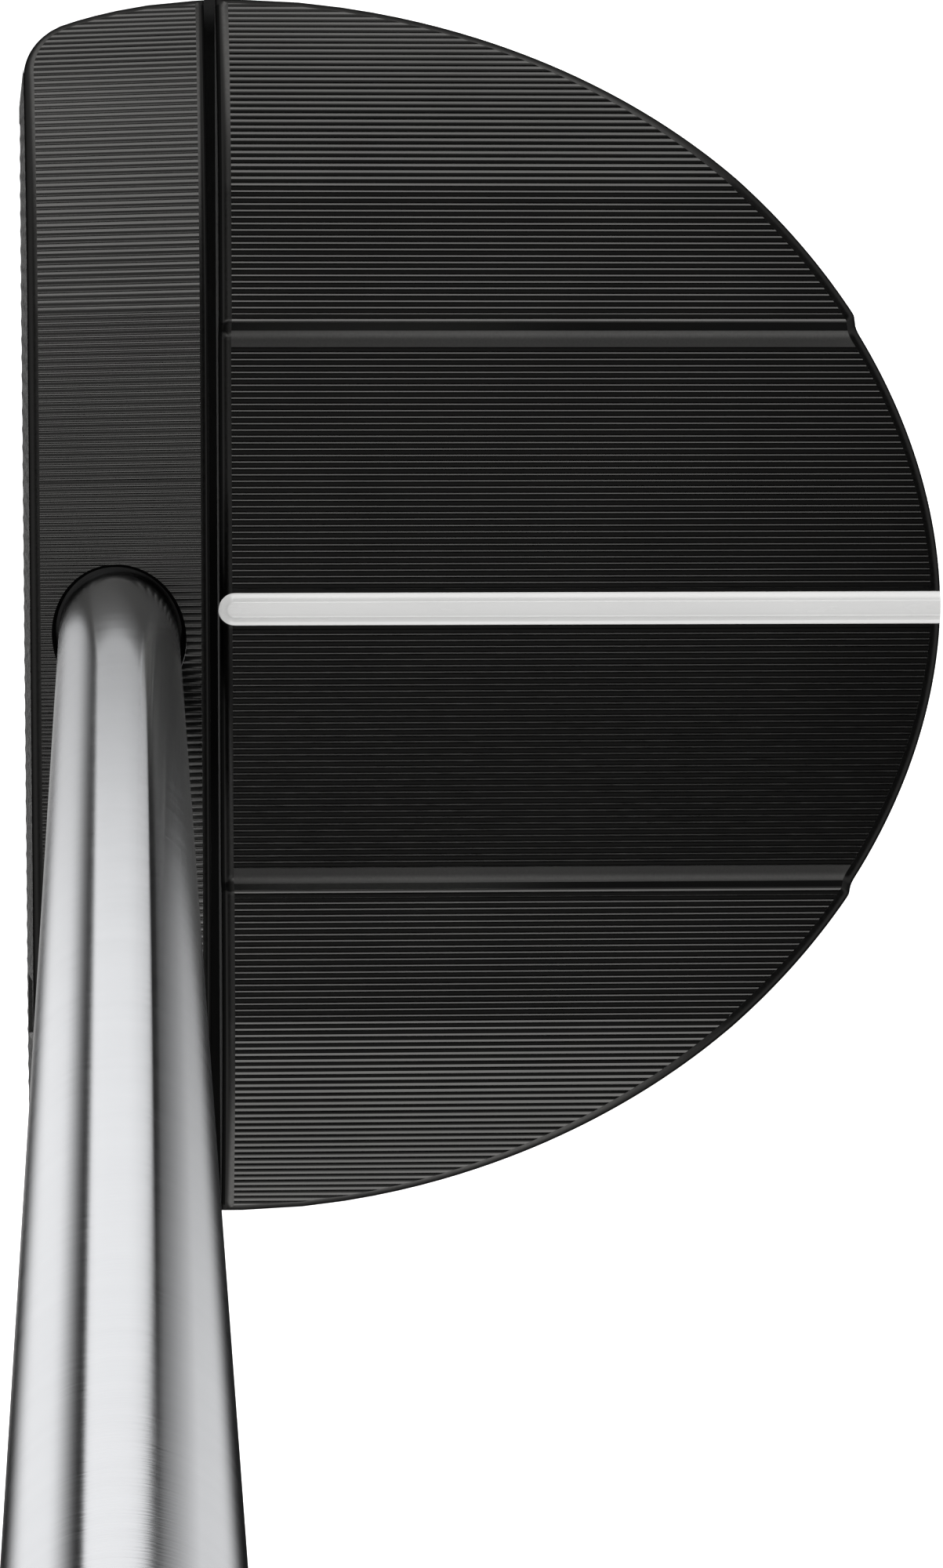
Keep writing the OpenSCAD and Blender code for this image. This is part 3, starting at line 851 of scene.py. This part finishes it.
def grip_radius(s, angle):
    """Distance from the axis to the grip's outside: round, blended into a flat front for the thumbs."""
    share = (s - GRIP_S) / (BUTT_S - GRIP_S)
    round_r = GRIP_MOUTH_R + (GRIP_BUTT_R - GRIP_MOUTH_R) * share
    flat = FLAT_MOUTH + (FLAT_BUTT - FLAT_MOUTH) * share
    flat_r = np.where(np.cos(angle) > 0, flat / np.maximum(np.cos(angle), 1e-6), 1e9)
    parts = np.exp(-round_r / FLAT_SOFTNESS) + np.exp(-np.minimum(flat_r, 99) / FLAT_SOFTNESS)
    return -FLAT_SOFTNESS * np.log(parts)


def grip(material):
    """Moulded skin: plain flat front, shallow diamond grooves round the back, rolled mouth."""
    surface = Surface()
    angle = full_turn(240)
    from_front = np.abs((angle + math.pi) % (2 * math.pi) - math.pi)
    back = np.clip((from_front - GROOVES_FROM) / GROOVES_FADE, 0, 1)
    rows = []
    for s in np.linspace(GRIP_S, BUTT_S, 400):
        ends = np.clip(min(s - GRIP_S - PLAIN_MOUTH, BUTT_S - PLAIN_BUTT - s) / PLAIN_FADE, 0, 1)
        groove = 0
        for lean in (-1, 1):
            k = (angle * GROOVES_ROUND + lean * s * 2 * math.pi / GROOVE_LEAD) / (2 * math.pi)
            groove = np.maximum(groove, np.clip(1 - np.abs(k - np.round(k)) / GROOVE_SHARE, 0, 1))
        lip = max(0, GRIP_LIP_R - (s - GRIP_S))
        rolled = GRIP_LIP_R - math.sqrt(max(0, GRIP_LIP_R**2 - lip**2))
        rows.append(on_shaft(s, grip_radius(s, angle) - GROOVE_DEPTH * groove * back * ends - rolled, angle))
    inner = [on_shaft(s, shaft_radius(s) + GRIP_GAP, angle) for s in (BUTT_S, GRIP_S)]
    surface.grid([*rows, *inner, rows[0]], closed=True)
    piece = surface.to_object("grip_cover", [material])
    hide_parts("grip_skin")
    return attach(piece, "root")


# ---- materials


def new_material(name):
    """A material with its node tree and its shader."""
    material = bpy.data.materials.new(name)
    material.use_nodes = True
    return material, material.node_tree, material.node_tree.nodes["Principled BSDF"]


def connect(tree, node, **inputs):
    """Sets or links a node's inputs: _ in a name stands for a space, i0 and i1 for a number."""
    for name, value in inputs.items():
        socket = node.inputs[int(name[1:]) if name[1:].isdigit() else name.replace("_", " ")]
        if isinstance(value, bpy.types.NodeSocket):
            tree.links.new(value, socket)
        else:
            socket.default_value = value


def add_node(tree, kind, **inputs):
    made = tree.nodes.new(kind)
    connect(tree, made, **inputs)
    return made


def calc(tree, operation, result, *values):
    """One math node for each further value, in a row."""
    for value in values:
        made = add_node(tree, "ShaderNodeMath", i0=result, i1=value)
        made.operation = operation
        result = made.outputs[0]
    return result


def product(tree, *values):
    return calc(tree, "MULTIPLY", *values)


def vector(tree, operation, **inputs):
    made = add_node(tree, "ShaderNodeVectorMath", **inputs)
    made.operation = operation
    return made


def split(tree, direction, axis):
    return add_node(tree, "ShaderNodeSeparateXYZ", Vector=direction).outputs[axis]


def triple(value):
    """Three numbers from one or three: a scale along each axis, or a grey."""
    return np.resize(value, 3).astype(float).tolist()


def noise(tree, scale, detail=3.0):
    """Noise over object coordinates; scale is per metre, one number or one for each axis."""
    place = add_node(tree, "ShaderNodeTexCoord").outputs["Object"]
    scaled = add_node(tree, "ShaderNodeMapping", Vector=place, Scale=triple(scale)).outputs["Vector"]
    made = add_node(tree, "ShaderNodeTexNoise", Vector=scaled, Scale=1.0, Detail=detail, Roughness=0.6)
    return made.outputs["Fac"]


def ramp(tree, value, start, end, low, high):
    """Straight ramp from low at start to high at end, level outside."""
    ends = {"From_Min": start, "From_Max": end, "To_Min": low, "To_Max": high}
    return add_node(tree, "ShaderNodeMapRange", Value=value, **ends).outputs[0]


def spread(tree, value, low, high):
    """Noise around 0.5 stretched to the range from low to high."""
    return ramp(tree, value, 0.3, 0.7, low, high)


def mottled(tree, scale, tones, detail=3.0):
    """Noise between two colours."""
    made = tree.nodes.new("ShaderNodeMix")
    made.data_type = "RGBA"
    tree.links.new(noise(tree, scale, detail), made.inputs["Factor"])
    for end, tone in zip("AB", tones):
        made.inputs[end].default_value = (*triple(tone), 1)
    return made.outputs["Result"]


def bump(tree, shader, height, distance):
    made = add_node(tree, "ShaderNodeBump", Height=height, Distance=distance)
    connect(tree, shader, Normal=made.outputs["Normal"])


def finish(name, tones, tone_scale, scale, rough, bump_distance, detail=3.0, metallic=1.0):
    """Material mottled between two tones; marks at a second scale drive its roughness and its bump."""
    material, tree, shader = new_material(name)
    marks = noise(tree, scale, detail)
    colour = mottled(tree, tone_scale, tones)
    connect(tree, shader, Base_Color=colour, Roughness=spread(tree, marks, *rough), Metallic=metallic)
    bump(tree, shader, marks, bump_distance)
    return material


BLACK_RIBS = (0.105, 0.104, 0.103), (0.135, 0.134, 0.131)
BLACK_EDGE = (0.082, 0.081, 0.08), (0.105, 0.104, 0.102)
# Painted sheen: the head's black metal made lighter for the soft grey glow in the step's concave fillet.
STEP_PAINTED_SHEEN = (0.17, 0.169, 0.167), (0.22, 0.219, 0.215)


def black_metal(name, scale, rough, bump_distance, tones=BLACK_RIBS):
    """Black-finished metal."""
    return finish(name, tones, 90, scale, rough, bump_distance)


def steel(name, tone, rough, scale):
    """Bare steel, a little lighter along its marks."""
    lighter = [c * 1.12 for c in triple(tone)]
    return finish(name, (tone, lighter), scale, scale, rough, 6e-6)


def soft(name, dark, light, rough, scale, bump_distance):
    """Rubber, foam, cork, tape or cured resin: mottled colour, uneven sheen and a fine bump."""
    return finish(name, (dark, light), scale / 6, scale, rough, bump_distance, 5.0, 0.0)


def enamel():
    """Glossy white paint."""
    material, tree, shader = new_material("white enamel")
    connect(
        tree,
        shader,
        Base_Color=mottled(tree, (300, 60, 300), ((0.76, 0.76, 0.755), (0.85, 0.85, 0.845))),
        Roughness=spread(tree, noise(tree, (900, 200, 900)), 0.18, 0.3),
        Coat_Weight=1.0,
        Coat_IOR=2.0,
        Coat_Roughness=0.07,
    )
    bump(tree, shader, noise(tree, (700, 90, 700)), 2e-5)
    return material


def chrome():
    """Bright steel tube, brushed round: fine rings that draw reflections out along it."""
    material, tree, shader = new_material("brushed bright steel tube")
    rings = noise(tree, (150, 150, 9000))
    connect(
        tree,
        shader,
        Base_Color=mottled(tree, (60, 60, 900), ((0.72, 0.725, 0.735), (0.78, 0.785, 0.795)), 2.0),
        Roughness=spread(tree, rings, 0.09, 0.125),
        Metallic=1.0,
        Anisotropic=1.0,
        Anisotropic_Rotation=0.25,
    )
    bump(tree, shader, rings, 3.5e-6)
    return material


def dress(node, material):
    """Gives a CAD node that stays its finished material."""
    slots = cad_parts[node].data.materials
    slots.clear()
    slots.append(material)


# ---- camera, light and floor

# The photograph's view: lens on a 36 mm wide sensor, shift, turns in degrees, place in millimetres
CAMERA_LENS, CAMERA_SHIFT = 65.334, (0.165, 0.137)
CAMERA_TURNS = (("X", 3.6371), ("Y", 1.829), ("Z", 0.3056))
CAMERA_AT = (16.4357, 0.1185, 247.6719)


def make_camera():
    """Above the head's heel side, looking down past the shaft, with the toe at the top of the picture."""
    data = bpy.data.cameras.new("camera")
    data.sensor_width = 36
    data.lens = CAMERA_LENS
    data.shift_x, data.shift_y = CAMERA_SHIFT
    data.clip_start, data.clip_end = 0.01, 20
    camera = in_scene("camera", data)
    bpy.context.scene.camera = camera
    toe_up = Matrix(((0, 1, 0), (-1, 0, 0), (0, 0, 1)))
    pitch, yaw, roll = (Matrix.Rotation(math.radians(angle), 3, axis) for axis, angle in CAMERA_TURNS)
    turn = (pitch @ yaw @ roll @ toe_up).transposed()
    camera.matrix_world = Matrix.LocRotScale(Vector(CAMERA_AT) * MM, turn.to_quaternion(), None)


def rise(tree, value, at, edge):
    """Goes smoothly from 0 to 1 as value passes at, over edge to each side."""
    made = add_node(tree, "ShaderNodeMapRange", Value=value, From_Min=at - edge, From_Max=at + edge)
    made.interpolation_type = "SMOOTHSTEP"
    return made.outputs[0]


def fall(tree, value, at, edge):
    """Goes smoothly from 1 to 0 as value passes at."""
    return calc(tree, "SUBTRACT", 1.0, rise(tree, value, at, edge))


def band(tree, value, low, low_edge, high, high_edge):
    """1 between low and high with soft edges, 0 outside."""
    return calc(tree, "SUBTRACT", rise(tree, value, low, low_edge), rise(tree, value, high, high_edge))


def between(tree, share, low, high):
    """low where share is 0, high where it is 1."""
    return calc(tree, "ADD", low, product(tree, share, calc(tree, "SUBTRACT", high, low)))


# Upper studio: strips across X as (start, end, brightness), and what band() takes along Y
CEILING = ((-0.3, 0.3, 0.06),), (-0.25, 0.08, 0.27, 0.08)
FRONT = ((-0.42, -0.31, 1.0), (-0.31, 0.22, 0.17), (0.22, 0.33, 0.95)), (-0.6, 0.08, -0.2, 0.06)
SIDE_STRIPS = ((-1.2, -1.02, 0.6), (-0.93, -0.61, 1.2), (0.61, 0.95, 1.35), (1.03, 1.2, 0.7))
SIDES = SIDE_STRIPS, (-0.55, 0.15, 0.34, 0.12)
STRIP_EDGE = 0.03
WALLS_TOP, WALLS_LEVEL, UPPER_LEVEL = (0.42, 0.12), 0.22, 0.012
# Below the horizon: a box nearly straight down for the face, a glow under the horizon, almost black elsewhere
LOW_BOX_Y, LOW_BOX_X, LOW_BOX_TOP = (-0.2, 0.03, -0.02, 0.03), (-0.36, 0.08, 0.2, 0.08), (-0.935, 0.03)
LOW_BOX_LEVEL, GLOW_FROM, GLOW_LEVEL, LOWER_LEVEL = 0.42, (-0.5, 0.1), 0.14, 0.004
HORIZON = (-0.1, 0.08)
CAMERA_LEVEL = 1.03
# What the tube mirrors, by degrees round it where that shows: starts and ends of boxes, with softnesses
FRONT_BOX = (-62, 9, -29.5, 8.5)
MAIN_START, MAIN_DIMMER, DIMMER_SHARE = (-18.6, 1.4), (16, 14), 0.34
REAR_END = (61, 8)
GAP_AT, GAP_ALONG, GAP_TURN, GAP_HALF, GAP_EDGE = 26.0, -0.95, -93.0, 2.4, 1.0
REAR_RAMP = (GAP_HALF, 24, 0.14, 1.0)
# How they fade towards the head, by the cosine along the axis: from, to, level at each
MOUTH_FADE = (-0.959, -0.941, 0.0, 1.08)
FRONT_FADE = (-0.957, -0.915, 0.45, 1.03)
REAR_FADE = (-0.957, -0.84, 0.12, 0.74)
BOXES_AWAY, BOXES_SIZE = 4.0, 14.0
# Lamps: name, place in metres, size, power
LAMPS = (("key", (-0.1, -0.2, 1.5), 0.5, 10), ("fill", (0.3, 0.3, 1.4), 0.7, 4))


def shaft_boxes(tree, direction):
    """Light boxes with dark gaps between them, placed round the shaft; the rear gap winds a little."""
    along = vector(tree, "DOT_PRODUCT", i0=direction, i1=tuple(AXIS)).outputs["Value"]
    up = vector(tree, "DOT_PRODUCT", i0=direction, i1=tuple(TO_FLAT)).outputs["Value"]
    # A mirror turns half as far as what it shows.
    angle = product(tree, calc(tree, "ARCTAN2", split(tree, direction, "Y"), up), 90 / math.pi)
    bend = product(tree, calc(tree, "SUBTRACT", along, GAP_ALONG), GAP_TURN)
    from_gap = calc(tree, "SUBTRACT", angle, bend, GAP_AT)
    near = ramp(tree, along, *MOUTH_FADE)
    front = product(tree, band(tree, angle, *FRONT_BOX), ramp(tree, along, *FRONT_FADE))
    main = product(tree, rise(tree, angle, *MAIN_START), fall(tree, from_gap, -GAP_HALF, GAP_EDGE), near)
    dimmer = product(tree, rise(tree, angle, *MAIN_DIMMER), DIMMER_SHARE)
    main = product(tree, main, calc(tree, "SUBTRACT", 1.0, dimmer))
    rear = product(tree, ramp(tree, from_gap, *REAR_RAMP), rise(tree, from_gap, GAP_HALF, GAP_EDGE))
    rear = product(tree, rear, fall(tree, angle, *REAR_END), ramp(tree, along, *REAR_FADE), near)
    return calc(tree, "ADD", front, main, rear)


def make_shaft_boxes(tube, mouth):
    """A wide light under the head for the tube alone; only the bar round the bore's mouth blocks it."""
    data = bpy.data.lights.new("shaft boxes", "AREA")
    data.size = BOXES_SIZE
    data.energy = math.pi * BOXES_SIZE**2
    data.use_nodes = True
    tree = data.node_tree
    base = Vector((FOOT + AXIS * ENTRY_S) * MM)
    place = add_node(tree, "ShaderNodeNewGeometry").outputs["Position"]
    away = vector(tree, "SUBTRACT", i0=place, i1=tuple(base)).outputs["Vector"]
    strength = shaft_boxes(tree, vector(tree, "NORMALIZE", i0=away).outputs["Vector"])
    connect(tree, tree.nodes["Emission"], Color=(0.985, 0.99, 1, 1), Strength=strength)
    light = in_scene("shaft boxes", data)
    light.location = base - Vector(AXIS) * BOXES_AWAY
    light.rotation_euler = Vector(AXIS).to_track_quat("-Z", "Y").to_euler()
    light.visible_camera = False
    for name, piece in (("receiver_collection", tube), ("blocker_collection", mouth)):
        group = bpy.data.collections.new(name)
        group.objects.link(piece)
        setattr(light.light_linking, name, group)


def strips(tree, x, edges):
    """Light strips across X, added up."""
    lit = [product(tree, band(tree, x, a, STRIP_EDGE, b, STRIP_EDGE), level) for a, b, level in edges]
    return calc(tree, "ADD", *lit)


def upper_studio(tree, direction):
    """Dim ceiling, strip boxes in front and at the toe and heel sides, dim walls all round."""
    x, y, z = (split(tree, direction, axis) for axis in "XYZ")
    boxes = (CEILING, FRONT, SIDES)
    parts = [product(tree, strips(tree, x, edges), band(tree, y, *span)) for edges, span in boxes]
    walls = product(tree, fall(tree, z, *WALLS_TOP), WALLS_LEVEL)
    return calc(tree, "ADD", *parts, walls)


def make_world():
    """A pale studio for the camera; soft boxes and dark gaps for what the metal mirrors."""
    world = bpy.data.worlds.new("studio")
    bpy.context.scene.world = world
    world.use_nodes = True
    tree = world.node_tree
    direction = add_node(tree, "ShaderNodeTexCoord").outputs["Generated"]
    height = split(tree, direction, "Z")
    high = calc(tree, "ADD", upper_studio(tree, direction), UPPER_LEVEL)
    towards = band(tree, split(tree, direction, "Y"), *LOW_BOX_Y)
    sideways = band(tree, split(tree, direction, "X"), *LOW_BOX_X)
    box = product(tree, fall(tree, height, *LOW_BOX_TOP), towards, sideways, LOW_BOX_LEVEL)
    glow = product(tree, rise(tree, height, *GLOW_FROM), GLOW_LEVEL)
    low = calc(tree, "ADD", box, LOWER_LEVEL, glow)
    mixed = between(tree, rise(tree, height, *HORIZON), low, high)
    seen = add_node(tree, "ShaderNodeLightPath").outputs["Is Camera Ray"]
    strength = between(tree, seen, mixed, CAMERA_LEVEL)
    connect(tree, tree.nodes["Background"], Color=(1, 0.995, 0.985, 1), Strength=strength)


def make_lights():
    """Soft overhead light for painted and moulded surfaces; the metal mirrors the studio instead."""
    for name, place, size, power in LAMPS:
        data = bpy.data.lights.new(name, "AREA")
        data.size = size
        data.energy = power
        light = in_scene(name, data)
        light.location = place
        light.rotation_euler = (-Vector(place)).to_track_quat("-Z", "Y").to_euler()
        light.visible_glossy = False


def make_floor():
    """Plain pale floor, 8 m across, that stays light under the lamps."""
    surface = Surface()
    at = np.linspace(-4000, 4000, 9)
    surface.grid([stack(at, y, 0) for y in at], facing=UP)
    material, tree, shader = new_material("pale floor")
    colour = mottled(tree, 3, (0.86, 0.9))
    white = (1, 1, 1, 1)
    connect(tree, shader, Base_Color=colour, Roughness=0.9, Emission_Color=white, Emission_Strength=0.85)
    floor = surface.to_object("floor", [material])
    floor.visible_glossy = False


# ---- the scene

bpy.context.scene.view_settings.view_transform = "Standard"
make_camera()
make_world()
make_lights()
make_floor()

mouth = head([
    black_metal("black ribbed top", (5200, 500, 5200), (0.13, 0.2), 1.5e-6),
    black_metal("black blasted edge", 4200, (0.28, 0.38), 4e-6, BLACK_EDGE),
    black_metal("black milled face", (2500, 2500, 900), (0.22, 0.34), 2e-6),
    # Painted shade: the head's black metal made near-black for its hollows and the undersides of rims.
    black_metal("black painted shade", 3000, (0.35, 0.5), 3e-6, (0.02, 0.03)),
    # Painted sheen: lighter tones for the step's concave fillet.
    black_metal("black blasted step, painted sheen", 5200, (0.6, 0.7), 5e-6, STEP_PAINTED_SHEEN),
])
sight_line(enamel())
tube = shaft(chrome())
make_shaft_boxes(tube, mouth)
grip(soft("grip rubber", (0.012, 0.012, 0.013), (0.022, 0.022, 0.023), (0.5, 0.68), 1500, 4e-5))
weight_finish = steel("turned weights", 0.5, (0.2, 0.34), 2200)
weight("toe_weight", -1, weight_finish)
weight("heel_weight", 1, weight_finish)

for node, material in (
    ("sole_plate", steel("brushed sole plate", (0.6, 0.6, 0.58), (0.22, 0.36), (120, 4000, 4000))),
    ("sole_plate_screws", steel("machine screws", 0.45, (0.25, 0.4), 2500)),
    ("shaft_adhesive", soft("cured epoxy", 0.012, 0.02, (0.3, 0.45), 800, 1e-5)),
    ("shaft_tip_plug", soft("cork", (0.35, 0.22, 0.12), (0.5, 0.34, 0.2), (0.8, 0.95), 1200, 1e-4)),
    ("grip_tape", soft("cloth tape", (0.6, 0.57, 0.46), (0.7, 0.67, 0.55), (0.8, 0.9), 2500, 3e-5)),
    ("grip_core", soft("grip foam", 0.03, 0.05, (0.85, 0.95), 1800, 1e-4)),
    ("grip_cap", soft("cap plastic", (0.014, 0.014, 0.015), (0.024, 0.024, 0.025), (0.42, 0.55), 1500, 2e-5)),
):
    dress(node, material)
